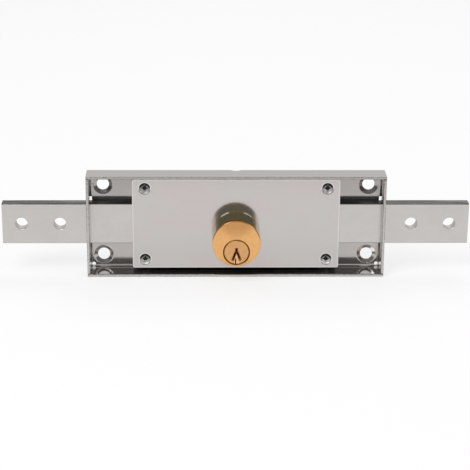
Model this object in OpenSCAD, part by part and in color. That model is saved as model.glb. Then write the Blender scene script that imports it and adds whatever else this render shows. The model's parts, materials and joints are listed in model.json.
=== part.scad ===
// Surface lock for a roller shutter: a folded case, two flat bolts and a round pin tumbler cylinder.
// A pinion on the tail of the plug drives two racks, and one full turn throws both bolts.
// Everything is drawn lying on its back, with x along the bolts, y up the case and z out of its
// open front, and is then stood up so that the front faces -Y and the top faces +Z.

/* [Case] */
// Length of the case over its end walls
case_length = 155; // [154:1:170]
// Height of the case over its top and bottom walls
case_height = 55; // [54.5:0.5:62]
// Depth from the back of the case to the front edges of its walls
case_depth = 14.2; // [13:0.1:18]
// Thickness of the folded sheet
sheet = 1.5; // [1.2:0.1:1.6]
// Inside radius of the bends along the back edges
bend_radius = 1.2; // [0.6:0.1:1.6]
// Slit between two walls where they meet at a corner
corner_gap = 0.1; // [0.05:0.05:0.3]
// Radius of the relief hole where two bends meet
relief_radius = 1; // [0.6:0.1:1.2]
// Width of the half-round notch at the back edge of the top wall
notch_width = 6.9; // [4:0.1:8]

/* [Fixing holes] */
// Distance from the outside of two walls to the fixing hole between them
fixing_inset = 8.1; // [7.6:0.1:10]
// Diameter of a fixing hole
fixing_hole_d = 6.4; // [5:0.1:7]
// Diameter of its countersink at the inner face of the sheet
fixing_sink_d = 11; // [9:0.2:11.4]
// Depth of the straight wall that is left under the countersink
fixing_land = 0.4; // [0.3:0.1:0.8]

/* [Bolts] */
// Height of the flat bar that each bolt is cut from
bolt_height = 21.7; // [20:0.1:22.4]
// Thickness of the bar
bolt_thickness = 6.5; // [6:0.1:7.5]
// Length of a bolt that stands out of the case when it is drawn back
bolt_projection = 44.15; // [40:0.05:60]
// Distance from the middle of the case to the inner end of a bolt
bolt_inner_x = 29; // [28.6:0.1:29.6]
// Width of the chamfer along the edges of the bar
bolt_chamfer = 0.3; // [0.1:0.1:0.6]
// Diameter of the holes that take the shutter rods
rod_hole_d = 6.5; // [5:0.1:9]
// Distance from the outer end of a bolt to its first rod hole
rod_hole_edge = 10; // [8:0.5:12]
// Distance between the two rod holes of a bolt
rod_hole_pitch = 20; // [14:0.5:24]
// Gap between a bolt and the sheet on either side of it
bolt_clearance = 0.2; // [0.1:0.05:0.3]
// Gap between a bolt and the edges of its window
window_clearance = 0.25; // [0.15:0.05:0.4]
// How far the bend relief of a window reaches past it, up and down
window_relief = 1.8; // [1:0.1:2.4]
// Distance from the foot of the bend to that relief
relief_foot = 0.4; // [0.2:0.1:0.8]

/* [Cover] */
// Length of the cover plate
cover_length = 108; // [107:0.5:112]
// Gap above and below the cover plate when it sits in the middle of the case
cover_margin = 1.6; // [1.3:0.1:2]
// How far the cover plate and its screws sit above the middle of the case
cover_rise = 0.4; // [0:0.1:0.4]
// Thickness of the cover plate
cover_thickness = 1.5; // [1.3:0.1:2]
// Radius of the corners of the cover plate
cover_corner = 1; // [0.5:0.1:4]
// Distance from the ends of the cover plate to its screws
cover_screw_end = 6.6; // [6:0.1:7.5]
// Distance from the long edges of the cover plate to its screws
cover_screw_edge = 4.9; // [4.4:0.1:5.4]
// Diameter of the countersinks in the front of the cover plate
cover_sink_d = 5.9; // [5.7:0.1:6.2]
// Depth of a screw head below the front of the cover plate
screw_recess = 0.5; // [0.3:0.05:0.6]
// Diameter of the posts that carry the cover plate
post_d = 6; // [5.6:0.1:7]
// Diameter of the riveted tenon of a post
post_tenon_d = 4.4; // [4:0.1:5]
// Diameter of the cover screws
cover_screw_d = 2.5; // [2.2:0.1:2.6]
// Length of the cover screws under the cover plate
cover_screw_length = 6; // [4:0.5:8]

/* [Guides] */
// Diameter of the studs that guide the bolts
stud_d = 3; // [2.8:0.1:3.4]
// Diameter of the riveted tenon of a stud
stud_tenon_d = 2.2; // [1.8:0.1:2.4]
// Distance from the ends of the cover plate to the studs under it
stud_end = 2.2; // [2:0.1:2.5]
// Gap between a stud and the edge of its bolt
stud_clearance = 0.15; // [0.05:0.05:0.3]

/* [Rack and pinion] */
// Number of teeth on the pinion
pinion_teeth = 8; // [8:2:10]
// Module of the teeth
gear_module = 0.875; // [0.8:0.005:0.9]
// Pressure angle of the teeth
pressure_angle = 25; // [24:0.5:26]
// Height of a rack tooth above its pitch line
rack_addendum = 0.6; // [0.5:0.01:0.62]
// Height of a pinion tooth above its pitch circle
pinion_addendum = 0.7; // [0.6:0.01:0.74]
// Gap between the tips of the teeth and the roots that they run in
root_clearance = 0.2; // [0.12:0.01:0.25]
// Play between the flanks of meshing teeth
backlash = 0.12; // [0.08:0.01:0.2]
// Thickness of the racks
rack_thickness = 3; // [2.6:0.1:3.2]
// Width of a rack behind its teeth
rail_width = 2.8; // [2.2:0.1:3]
// Length of the seat that is milled into a bolt for its rack
rack_seat = 15; // [14:0.5:18]
// Diameter of the rivets that hold a rack to its bolt
rivet_d = 3; // [2.4:0.1:3.6]
// Diameter of a rivet's closing heads
rivet_head_d = 4.6; // [4:0.1:5]
// Height of a rivet's closing heads
rivet_head_height = 0.8; // [0.5:0.1:1]
// Distance between the two rivets of a rack
rivet_pitch = 7; // [6:0.5:8]
// Height of the arm that joins the lower rack to its bolt
arm_height = 3.6; // [3:0.1:4]
// Gap between that arm and the teeth of the upper rack
arm_gap = 0.4; // [0.3:0.1:0.8]
// Gap between the pinion and the leg of the lower rack
leg_gap = 2.2; // [1.5:0.1:3]
// Diameter of the pinion's flange, which holds the plug in from behind
flange_d = 15.4; // [14.6:0.1:15.8]
// Thickness of that flange
flange_thickness = 1.1; // [0.9:0.1:1.2]
// Width of the square spigot that drives the pinion
spigot_width = 3; // [2.6:0.1:3.2]

/* [Cylinder] */
// Diameter of the cylinder
cylinder_d = 25; // [24.6:0.1:25.6]
// Height of its axis above the middle of the case, negative when it is lower
cylinder_y = -5.2; // [-5.4:0.1:-5]
// Length of the cylinder in front of the cover plate
nose_length = 15.1; // [14:0.1:20]
// Chamfer around the face of the cylinder
nose_chamfer = 0.4; // [0.2:0.05:0.8]
// Amount by which the cylinder is smaller in radius behind its shoulder
shoulder_width = 0.3; // [0.2:0.05:0.5]
// Gap between that shoulder and the front of the cover plate
shoulder_gap = 0.2; // [0.1:0.05:0.4]
// Gap around the cylinder where it passes through the cover plate
cover_hole_gap = 0.1; // [0.05:0.05:0.3]
// Thickness of the cylinder's wall under the collar of the plug
plug_wall = 1.25; // [1.1:0.05:1.4]
// Diameter of the plug behind its front collar
plug_d = 12.7; // [12.4:0.1:12.8]
// Amount by which the front collar is larger in radius
collar_width = 0.3; // [0.2:0.05:0.4]
// Length of the front collar
collar_length = 1.5; // [1.2:0.1:1.7]
// Running clearance of the plug, on the radius
plug_clearance = 0.05; // [0.03:0.01:0.08]
// Chamfer around the face of the plug
plug_chamfer = 0.45; // [0.2:0.05:0.6]
// Chamfer around the mouth of the plug's bore
bore_chamfer = 0.3; // [0.1:0.05:0.4]
// Width of the keyway
keyway_width = 1.1; // [0.9:0.05:1.2]
// Height of the top of the keyway above the axis of the plug
keyway_top = 2.3; // [2:0.1:2.6]
// Height at which the keyway forks, negative when it is below the axis
keyway_fork = -0.3; // [-0.5:0.1:0]
// Length of each leg of the fork
keyway_leg = 4.9; // [4.5:0.1:5.1]
// Angle of each leg
keyway_spread = 20; // [16:1:22]
// Width of the slot in the tongue between the legs
tongue_slot_width = 0.6; // [0.4:0.05:0.7]
// Distance of that slot from the middle, negative to the left
tongue_slot_x = -0.45; // [-0.6:0.05:0]
// Height of the top of that slot, negative when it is below the axis
tongue_slot_top = -3.4; // [-4:0.1:-3.2]
// Thickness of solid plug behind the keyway
keyway_back = 1.5; // [1:0.1:1.8]
// Distance from the round of the cylinder to the two screws that hold it
cylinder_screw_inset = 2.2; // [2:0.1:2.4]
// Diameter of those screws
cylinder_screw_d = 3; // [2.8:0.1:3]
// Length of those screws in the cylinder
cylinder_screw_grip = 6; // [4:0.5:8]
// Diameter of their countersunk heads
cylinder_screw_head_d = 5.6; // [5:0.1:6]
// Height of their heads
cylinder_screw_head = 1.3; // [1:0.1:1.4]
// Gap around a screw in the piece that it clamps
screw_clearance = 0.1; // [0.05:0.05:0.15]
// Diameter of the spacer sleeves around them
spacer_d = 4.4; // [4:0.1:4.8]
// Gap between those sleeves and the upper rack
spacer_gap = 0.3; // [0.2:0.1:0.5]
// Diameter of the screw that holds the pinion to the plug
tail_screw_d = 2; // [1.8:0.1:2]
// Diameter of its countersunk head
tail_screw_head_d = 3.8; // [3.4:0.1:4]
// Height of its head
tail_screw_head = 1.2; // [1:0.1:1.4]
// Length of that screw in the plug
tail_screw_grip = 3; // [2:0.5:4]

/* [Pins] */
// Distance between neighbouring pin stacks
pin_pitch = 3.3; // [3.2:0.05:3.35]
// Distance from the rear end of the cylinder to the rearmost stack
pin_rear = 2.3; // [2:0.1:2.4]
// Diameter of the pins
pin_d = 2.44; // [2.2:0.02:2.46]
// Clearance of a pin in its chamber, on the radius
pin_clearance = 0.08; // [0.06:0.01:0.1]
// Diameter of the point of a key pin
pin_tip_d = 0.9; // [0.6:0.1:1.2]
// Length of the cone above that point
pin_cone = 0.8; // [0.6:0.1:1]
// Height of the floor of a chamber above the axis of the plug
chamber_floor = 0.9; // [0.7:0.1:1]
// Length of the driver pins
driver_length = 3.4; // [3:0.1:3.6]
// Thickness of the plugs that close the chambers
chamber_plug_thickness = 1.6; // [1.2:0.1:2]
// How far a key lifts the key pins, from the rear stack to the front one
key_lifts = [1.6, 2.4, 1.2, 2.0, 1.4]; // [0.4:0.1:2.8]
// Diameter of the spring wire
spring_wire_d = 0.3; // [0.2:0.05:0.36]
// Distance between the turns of a spring
spring_pitch = 0.88; // [0.7:0.02:1.2]
// Gap between a spring and the wall of its chamber
spring_gap = 0.2; // [0.15:0.05:0.3]

/* [Hidden] */
$fn = 64;

// Gap around what is pressed, riveted or screwed home
snug = 0.02;
// Gap between faces that run past each other
end_play = 0.1;
// How far a cutter runs past what it cuts
over = 1;
// Width of a screw's cross recess as a share of its head
recess_share = 0.62;

// Depths from the back of the case outwards
bend_outer = bend_radius + sheet;
bolt_back = sheet + bolt_clearance;
bolt_front = bolt_back + bolt_thickness;
cover_back = bolt_front + bolt_clearance;
cover_front = cover_back + cover_thickness;
face = cover_front + nose_length;
rack_front = bolt_back + rack_thickness;
pinion_back = bolt_back + end_play;
flange_back = rack_front + bolt_clearance;
flange_front = flange_back + flange_thickness;
body_back = flange_front + end_play;
shoulder = cover_front + shoulder_gap;
square_back = pinion_back + tail_screw_head;

// Diameters and radii in the cylinder
rear_d = cylinder_d - 2 * shoulder_width;
plug_r = plug_d / 2;
collar_r = plug_r + collar_width;
bore_r = plug_r + plug_clearance;
collar_bore_r = collar_r + plug_clearance;
screw_hole_d = cylinder_screw_d + 2 * screw_clearance;
pin_r = pin_d / 2;
chamber_r = pin_r + pin_clearance;
coil_r = chamber_r - spring_gap - spring_wire_d / 2;

// Places along and across the case
wall_x = case_length / 2;
wall_y = case_height / 2;
cover_height = case_height - 2 * (sheet + cover_margin);
cover_screw_x = cover_length / 2 - cover_screw_end;
cover_screw_y = cover_height / 2 - cover_screw_edge;
stud_x = cover_length / 2 - stud_end;
bolt_outer_x = wall_x + bolt_projection;
plug_drop = cylinder_d / 2 - collar_bore_r - plug_wall;
plug_y = cylinder_y - plug_drop;

// Gearing: one turn of the plug moves each bolt by the pinion's pitch circumference
tooth_pitch = PI * gear_module;
pitch_r = gear_module * pinion_teeth / 2;
travel = 2 * PI * pitch_r;
rack_dedendum = pinion_addendum + root_clearance;
rack_run = 1.5 * tooth_pitch;
base_r = pitch_r * cos(pressure_angle);
tip_r = pitch_r + pinion_addendum;
root_r = pitch_r - rack_addendum - root_clearance;
// Radii at which a tooth flank has its points: a straight foot, then the involute
flank_radii = concat([root_r], [for (i = [0:4]) base_r + (tip_r - base_r) * i / 4]);

// The cylinder's screws stand over the upper rack, inside the round of the cylinder
cylinder_screw_y = plug_y + pitch_r + rack_dedendum + rail_width + spacer_gap + spacer_d / 2;
cylinder_screw_r = rear_d / 2 - cylinder_screw_inset;
cylinder_screw_x = sqrt(pow(cylinder_screw_r, 2) - pow(cylinder_screw_y - cylinder_y, 2));

// Pin stacks, and the heights of their pins above the axis of the plug
pin_count = 5;
key_pin_rest = chamber_floor + end_play;
key_pin_top = sqrt(pow(plug_r, 2) - pow(pin_r, 2)) - pin_clearance;
driver_bottom = bore_r + plug_clearance;
driver_top = driver_bottom + driver_length;
body_top = plug_drop + cylinder_d / 2;
chamber_plug_bottom = body_top - chamber_plug_thickness;
spring_turns = floor((chamber_plug_bottom - driver_top - spring_wire_d) / spring_pitch);

// Stands up what is drawn lying on its back
module stand() {
    rotate([90, 0, 0]) children();
}

// Puts a copy in each quarter, at +-x and at +-y from the given height
module in_quarters(x, y, rise = 0) {
    for (side = [-1, 1], end = [-1, 1]) {
        translate([side * x, rise + end * y, 0]) children();
    }
}

// A disc of the given diameter between two depths
module disc(diameter, low, high) {
    translate([0, 0, low]) cylinder(d = diameter, h = high - low);
}

// A cone between two depths, with a diameter at each
module taper(low_diameter, high_diameter, low, high) {
    translate([0, 0, low]) cylinder(d1 = low_diameter, d2 = high_diameter, h = high - low);
}

// Cross recess of a screw with the given head, cut downwards from its mouth
module cross_recess(mouth, head) {
    size = recess_share * head;
    depth = 0.35 * size;
    arm = 0.2 * size;
    for (turn = [0, 90]) {
        rotate(turn) translate([-size / 2, -arm / 2, mouth - depth]) {
            cube([size, arm, depth + over]);
        }
    }
    taper(arm, 3 * arm, mouth - 1.4 * depth, mouth + snug);
}

// Flat profile of a bend, from the edge of the base to the foot of its wall
module bend_profile() {
    intersection() {
        translate([0, bend_outer]) difference() {
            circle(bend_outer);
            circle(bend_radius);
        }
        square(bend_outer);
    }
}

// A folded wall of the given length, standing on the +x edge of the base
module folded_wall(bend_length, wall_length) {
    rotate([90, 0, 0]) {
        translate([0, 0, -bend_length / 2]) linear_extrude(bend_length) bend_profile();
        translate([bend_radius, bend_outer, -wall_length / 2]) {
            cube([sheet, case_depth - bend_outer, wall_length]);
        }
    }
}

// Cuts the window of a bolt through the end wall on the +x side, and the relief of its bend
module bolt_window() {
    half = bolt_height / 2 + window_clearance;
    translate([wall_x - sheet - over, -half, bend_outer / 2]) {
        cube([sheet + 2 * over, 2 * half, bolt_front + window_clearance - bend_outer / 2]);
    }
    translate([wall_x - bend_outer + relief_foot, -half - window_relief, -over]) {
        cube([bend_outer + over, 2 * (half + window_relief), bend_outer + over]);
    }
}

// Half-round notch that is punched across the top bend
module top_notch() {
    translate([0, wall_y + over, 0]) rotate([90, 0, 0]) {
        cylinder(d = notch_width, h = bend_outer + over);
    }
    translate([0, wall_y, 0]) disc(notch_width, -over, sheet + end_play);
}

module case() {
    color("silver") stand() difference() {
        union() {
            translate([bend_outer - wall_x, bend_outer - wall_y, 0]) {
                cube([case_length - 2 * bend_outer, case_height - 2 * bend_outer, sheet]);
            }
            for (end = [0, 1]) {
                mirror([0, end, 0]) translate([0, wall_y - bend_outer, 0]) rotate(90) {
                    folded_wall(case_length, case_length);
                }
                mirror([end, 0, 0]) translate([wall_x - bend_outer, 0, 0]) {
                    folded_wall(
                        case_height - 2 * (bend_outer + corner_gap),
                        case_height - 2 * (sheet + corner_gap)
                    );
                }
            }
        }
        for (end = [0, 1]) {
            mirror([end, 0, 0]) bolt_window();
        }
        in_quarters(wall_x - bend_outer, wall_y - bend_outer) disc(2 * relief_radius, -over, bend_outer);
        in_quarters(wall_x - fixing_inset, wall_y - fixing_inset) {
            disc(fixing_hole_d, -over, sheet);
            taper(fixing_hole_d, fixing_sink_d, fixing_land, sheet);
        }
        in_quarters(cover_screw_x, cover_screw_y, cover_rise) {
            disc(post_tenon_d + 2 * snug, -over, sheet + over);
        }
        in_quarters(stud_x, bolt_height / 2 + stud_clearance + stud_d / 2) {
            disc(stud_tenon_d + 2 * snug, -over, sheet + over);
        }
        for (side = [-1, 1]) {
            translate([side * cylinder_screw_x, cylinder_screw_y, 0]) {
                disc(screw_hole_d, -over, sheet + over);
                taper(cylinder_screw_head_d + 2 * screw_clearance, screw_hole_d, 0, cylinder_screw_head);
            }
        }
        top_notch();
    }
}

// Rectangle with round corners, centred
module rounded_plate(length, height, radius) {
    square([length, height - 2 * radius], center = true);
    square([length - 2 * radius, height], center = true);
    for (x = [-1, 1], y = [-1, 1]) {
        translate([x * (length / 2 - radius), y * (height / 2 - radius)]) circle(radius);
    }
}

module cover_plate() {
    color("gainsboro") stand() difference() {
        translate([0, cover_rise, cover_back]) linear_extrude(cover_thickness) {
            rounded_plate(cover_length, cover_height, cover_corner);
        }
        translate([0, cylinder_y, 0]) {
            disc(rear_d + 2 * cover_hole_gap, cover_back - over, cover_front + over);
        }
        in_quarters(cover_screw_x, cover_screw_y, cover_rise) {
            taper(cover_sink_d - 2 * cover_thickness, cover_sink_d, cover_back, cover_front);
        }
    }
}

module cover_posts() {
    color("darkgray") stand() {
        in_quarters(cover_screw_x, cover_screw_y, cover_rise) difference() {
            union() {
                disc(post_tenon_d, 0, sheet);
                disc(post_d, sheet, cover_back);
            }
            disc(cover_screw_d + 2 * snug, -over, cover_back + over);
        }
    }
}

module cover_screws() {
    head_front = cover_front - screw_recess;
    head_d = cover_sink_d - 2 * screw_recess - 2 * snug;
    head_foot_d = cover_sink_d - 2 * cover_thickness - 2 * snug;
    color("dimgray") stand() {
        in_quarters(cover_screw_x, cover_screw_y, cover_rise) difference() {
            union() {
                taper(head_foot_d, head_d, cover_back, head_front);
                disc(cover_screw_d, cover_back - cover_screw_length, cover_back);
            }
            cross_recess(head_front, head_d);
        }
    }
}

module guide_studs() {
    color("darkgray") stand() {
        in_quarters(stud_x, bolt_height / 2 + stud_clearance + stud_d / 2) {
            disc(stud_tenon_d, 0, sheet);
            disc(stud_d, sheet, cover_back - end_play);
        }
    }
}

// Section of the flat bar, with its long edges broken
module bar_section() {
    high = bolt_height / 2;
    wide = bolt_thickness;
    cut = bolt_chamfer;
    polygon([
        [cut, -high], [wide - cut, -high], [wide, cut - high], [wide, high - cut],
        [wide - cut, high], [cut, high], [0, high - cut], [0, cut - high]
    ]);
}

// Centres of the two rivets of a rack, on the +x side
function rivet_xs() = [
    bolt_inner_x + (rack_seat - rivet_pitch) / 2,
    bolt_inner_x + (rack_seat + rivet_pitch) / 2
];

// A rivet with a flush head at each end, or the hole for it with some room added
module rivet(room = 0) {
    bore = rivet_d + 2 * room;
    head = rivet_head_d + 2 * room;
    disc(bore, bolt_back, bolt_front);
    taper(head, bore, bolt_back, bolt_back + rivet_head_height);
    taper(bore, head, bolt_front - rivet_head_height, bolt_front);
}

// The bolt on the +x side, drawn back
module bolt() {
    difference() {
        translate([bolt_inner_x, 0, bolt_front]) rotate([0, 90, 0]) {
            linear_extrude(bolt_outer_x - bolt_inner_x) bar_section();
        }
        translate([bolt_inner_x - over, -bolt_height / 2 - over, bolt_back - over]) {
            cube([rack_seat + over, bolt_height + 2 * over, rack_thickness + over]);
        }
        for (step = [0, 1]) {
            translate([bolt_outer_x - rod_hole_edge - step * rod_hole_pitch, 0, 0]) {
                disc(rod_hole_d, bolt_back - over, bolt_front + over);
            }
        }
        for (x = rivet_xs()) {
            translate([x, 0, 0]) rivet(snug);
        }
    }
}

module left_bolt() {
    color("lightgray") stand() mirror([1, 0, 0]) bolt();
}

module right_bolt() {
    color("lightgray") stand() bolt();
}

// The rivets on the +x side
module rivets() {
    for (x = rivet_xs()) {
        translate([x, 0, 0]) rivet();
    }
}

module left_rivets() {
    color("gray") stand() mirror([1, 0, 0]) rivets();
}

module right_rivets() {
    color("gray") stand() rivets();
}

// The four corners of rack tooth number k, whose tip points down from a pitch line at y = 0
function rack_tooth(k) =
    let (
        x = (k + 0.5) * tooth_pitch,
        half = tooth_pitch / 4 - backlash / 2,
        slope = tan(pressure_angle),
        foot = half + rack_dedendum * slope,
        tip = half - rack_addendum * slope
    )
    [
        [x - foot, rack_dedendum], [x - tip, -rack_addendum],
        [x + tip, -rack_addendum], [x + foot, rack_dedendum]
    ];

// Toothed rail above a pitch line at y = 0, from low_x to the end of its run
module toothed_rail(low_x) {
    high_x = travel + rack_run;
    polygon(concat(
        [[low_x, rack_dedendum]],
        [for (k = [-2:pinion_teeth]) each rack_tooth(k)],
        [[high_x, rack_dedendum], [high_x, rack_dedendum + rail_width]],
        [[low_x, rack_dedendum + rail_width]]
    ));
}

// The pad of a rack that is riveted into the seat of its bolt, on the side given by its sign
module rack_pad(side) {
    pad_length = rack_seat - bolt_clearance;
    translate([side * (bolt_inner_x + pad_length / 2), 0]) {
        square([pad_length, bolt_height - 2 * bolt_chamfer], center = true);
    }
}

// A rack as a flat outline, with the holes of its rivets on the side given by its sign
module rack_plate(side) {
    difference() {
        translate([0, 0, bolt_back]) linear_extrude(rack_thickness) children();
        for (x = rivet_xs()) {
            translate([side * x, 0, 0]) rivet(snug);
        }
    }
}

// Runs over the top of the pinion
module left_rack() {
    color("slategray") stand() rack_plate(-1) {
        rack_pad(-1);
        translate([0, plug_y + pitch_r]) toothed_rail(-bolt_inner_x - over);
    }
}

// Runs under the pinion, and steps up beside it to reach its bolt
module right_rack() {
    rail_back = plug_y - pitch_r - rack_dedendum - rail_width;
    arm_top = plug_y + pitch_r - rack_addendum - arm_gap;
    arm_bottom = arm_top - arm_height;
    leg_x = tip_r + leg_gap;
    color("slategray") stand() rack_plate(1) {
        rack_pad(1);
        translate([0, plug_y - pitch_r]) rotate(180) toothed_rail(-leg_x);
        translate([leg_x, rail_back]) square([2 * rail_width, arm_top - rail_back]);
        translate([leg_x, arm_bottom]) square([bolt_inner_x + over - leg_x, arm_height]);
    }
}

// Angle between an involute's start and its point at the given radius
function involute(r) = let (a = acos(min(1, base_r / r))) tan(a) * 180 / PI - a;

// Half the angle that a pinion tooth covers at the given radius
function half_tooth(r) =
    90 / pinion_teeth - backlash / 4 / pitch_r * 180 / PI + involute(pitch_r) - involute(r);

module pinion_section() {
    last = len(flank_radii) - 1;
    polygon([
        for (tooth = [0:pinion_teeth - 1], side = [-1, 1], i = [0:last])
        let (
            r = flank_radii[side < 0 ? i : last - i],
            a = 90 + 360 / pinion_teeth * tooth + side * half_tooth(max(r, base_r))
        )
        r * [cos(a), sin(a)]
    ]);
}

module drive_pinion() {
    color("darkgray") stand() translate([0, plug_y, 0]) difference() {
        union() {
            translate([0, 0, pinion_back]) linear_extrude(flange_back - pinion_back) pinion_section();
            disc(flange_d, flange_back, flange_front);
        }
        translate([-spigot_width / 2 - snug, -spigot_width / 2 - snug, square_back]) {
            cube([spigot_width + 2 * snug, spigot_width + 2 * snug, face]);
        }
        taper(
            tail_screw_head_d + 2 * screw_clearance,
            tail_screw_d + 2 * screw_clearance,
            pinion_back,
            square_back
        );
    }
}

module tail_screw() {
    color("dimgray") stand() translate([0, plug_y, 0]) rotate([180, 0, 0]) {
        difference() {
            union() {
                taper(tail_screw_d, tail_screw_head_d, -square_back, -pinion_back);
                disc(tail_screw_d, -square_back - tail_screw_grip, -square_back);
            }
            cross_recess(-pinion_back, tail_screw_head_d);
        }
    }
}

// Depths of the pin stacks, from the rear one to the front one
function pin_z(number) = body_back + pin_rear + (number - 1) * pin_pitch;

// Turns a shape that points out of the face so that it points up, on the given stack
module on_stack(number) {
    translate([0, plug_y, pin_z(number)]) rotate([-90, 0, 0]) children();
}

// The round of the cylinder, with its shoulder and the chamfer of its face
module cylinder_round() {
    translate([0, cylinder_y, 0]) {
        disc(rear_d, body_back, shoulder);
        disc(cylinder_d, shoulder, face - nose_chamfer);
        taper(cylinder_d, cylinder_d - 2 * nose_chamfer, face - nose_chamfer, face);
    }
}

module cylinder_body() {
    color("goldenrod") stand() difference() {
        cylinder_round();
        translate([0, plug_y, 0]) {
            disc(2 * bore_r, body_back - over, face);
            disc(2 * collar_bore_r, face - collar_length - plug_clearance, face + over);
            taper(2 * collar_bore_r, 2 * (collar_bore_r + bore_chamfer), face - bore_chamfer, face);
        }
        for (number = [1:pin_count]) {
            on_stack(number) disc(2 * chamber_r, 0, body_top + over);
        }
        for (side = [-1, 1]) {
            translate([side * cylinder_screw_x, cylinder_screw_y, 0]) {
                disc(cylinder_screw_d + 2 * snug, body_back - over, body_back + cylinder_screw_grip + over);
            }
        }
    }
}

module cylinder_spacers() {
    color("silver") stand() for (side = [-1, 1]) {
        translate([side * cylinder_screw_x, cylinder_screw_y, 0]) difference() {
            disc(spacer_d, sheet, body_back);
            disc(screw_hole_d, 0, body_back + over);
        }
    }
}

module cylinder_screws() {
    color("dimgray") stand() for (side = [-1, 1]) {
        translate([side * cylinder_screw_x, cylinder_screw_y, 0]) rotate([180, 0, 0]) difference() {
            union() {
                taper(cylinder_screw_d, cylinder_screw_head_d, -cylinder_screw_head, 0);
                disc(cylinder_screw_d, -body_back - cylinder_screw_grip, -cylinder_screw_head);
            }
            cross_recess(0, cylinder_screw_head_d);
        }
    }
}

// Keyway as a fork: a stem at the top, two legs below it, and a slot in the tongue between them
module keyway_section() {
    half = keyway_width / 2;
    translate([-half, keyway_fork - half]) square([keyway_width, keyway_top - keyway_fork + half]);
    for (side = [-1, 1]) {
        translate([side * keyway_width / 3, keyway_fork + half / 2]) rotate(side * keyway_spread) {
            translate([-half, -keyway_leg]) square([keyway_width, keyway_leg]);
        }
    }
    translate([tongue_slot_x - tongue_slot_width / 2, -collar_r - over]) {
        square([tongue_slot_width, collar_r + over + tongue_slot_top]);
    }
}

module plug() {
    color("peru") stand() translate([0, plug_y, 0]) difference() {
        union() {
            disc(plug_d, body_back, face - collar_length);
            disc(2 * collar_r, face - collar_length, face - plug_chamfer);
            taper(2 * collar_r, 2 * (collar_r - plug_chamfer), face - plug_chamfer, face);
            translate([-spigot_width / 2, -spigot_width / 2, square_back]) {
                cube([spigot_width, spigot_width, body_back - square_back]);
            }
        }
        translate([0, 0, body_back + keyway_back]) linear_extrude(face) keyway_section();
        disc(tail_screw_d + 2 * snug, 0, square_back + tail_screw_grip + end_play);
        translate([0, -plug_y, 0]) for (number = [1:pin_count]) {
            on_stack(number) disc(2 * chamber_r, chamber_floor, plug_r + over);
        }
    }
}

// A key pin lies on the floor of its chamber, and its top meets the shear line when it is lifted
module key_pin(number) {
    cone_top = key_pin_rest + pin_cone;
    color("khaki") stand() on_stack(number) {
        taper(pin_tip_d, pin_d, key_pin_rest, cone_top);
        disc(pin_d, cone_top, key_pin_top - key_lifts[number - 1]);
    }
}

module driver_pin(number) {
    color("tan") stand() on_stack(number) disc(pin_d, driver_bottom, driver_top);
}

// A coil spring between two heights above the axis of the plug
module coil(radius, wire_r, low, high, turns) {
    sides = 6;
    steps = 12 * turns;
    points = [
        for (i = [0:steps], j = [0:sides - 1])
        let (
            turn = 360 * turns * i / steps,
            r = radius + wire_r * cos(360 * j / sides),
            z = low + wire_r + (high - low - 2 * wire_r) * i / steps
        )
        [r * cos(turn), r * sin(turn), z + wire_r * sin(360 * j / sides)]
    ];
    walls = [
        for (i = [0:steps - 1], j = [0:sides - 1])
        let (next = (j + 1) % sides, low_ring = sides * i, high_ring = sides * (i + 1))
        [low_ring + j, high_ring + j, high_ring + next, low_ring + next]
    ];
    first_cap = [[for (j = [0:sides - 1]) j]];
    last_cap = [[for (j = [sides - 1:-1:0]) sides * steps + j]];
    polyhedron(points, concat(first_cap, walls, last_cap));
}

module pin_spring(number) {
    color("gray") stand() on_stack(number) {
        coil(coil_r, spring_wire_d / 2, driver_top, chamber_plug_bottom, spring_turns);
    }
}

// Close the chambers, filed flush with the round of the cylinder
module chamber_plugs() {
    color("goldenrod") stand() intersection() {
        for (number = [1:pin_count]) {
            on_stack(number) disc(2 * (chamber_r - snug), chamber_plug_bottom, body_top + over);
        }
        cylinder_round();
    }
}

case();
cover_plate();
cover_posts();
cover_screws();
guide_studs();
left_bolt();
right_bolt();
left_rack();
right_rack();
left_rivets();
right_rivets();
cylinder_body();
cylinder_spacers();
cylinder_screws();
plug();
drive_pinion();
tail_screw();
key_pin(1);  // key_pin_1
key_pin(2);  // key_pin_2
key_pin(3);  // key_pin_3
key_pin(4);  // key_pin_4
key_pin(5);  // key_pin_5
driver_pin(1);  // driver_pin_1
driver_pin(2);  // driver_pin_2
driver_pin(3);  // driver_pin_3
driver_pin(4);  // driver_pin_4
driver_pin(5);  // driver_pin_5
pin_spring(1);  // pin_spring_1
pin_spring(2);  // pin_spring_2
pin_spring(3);  // pin_spring_3
pin_spring(4);  // pin_spring_4
pin_spring(5);  // pin_spring_5
chamber_plugs();
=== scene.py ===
import json
from math import pi, radians

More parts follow.
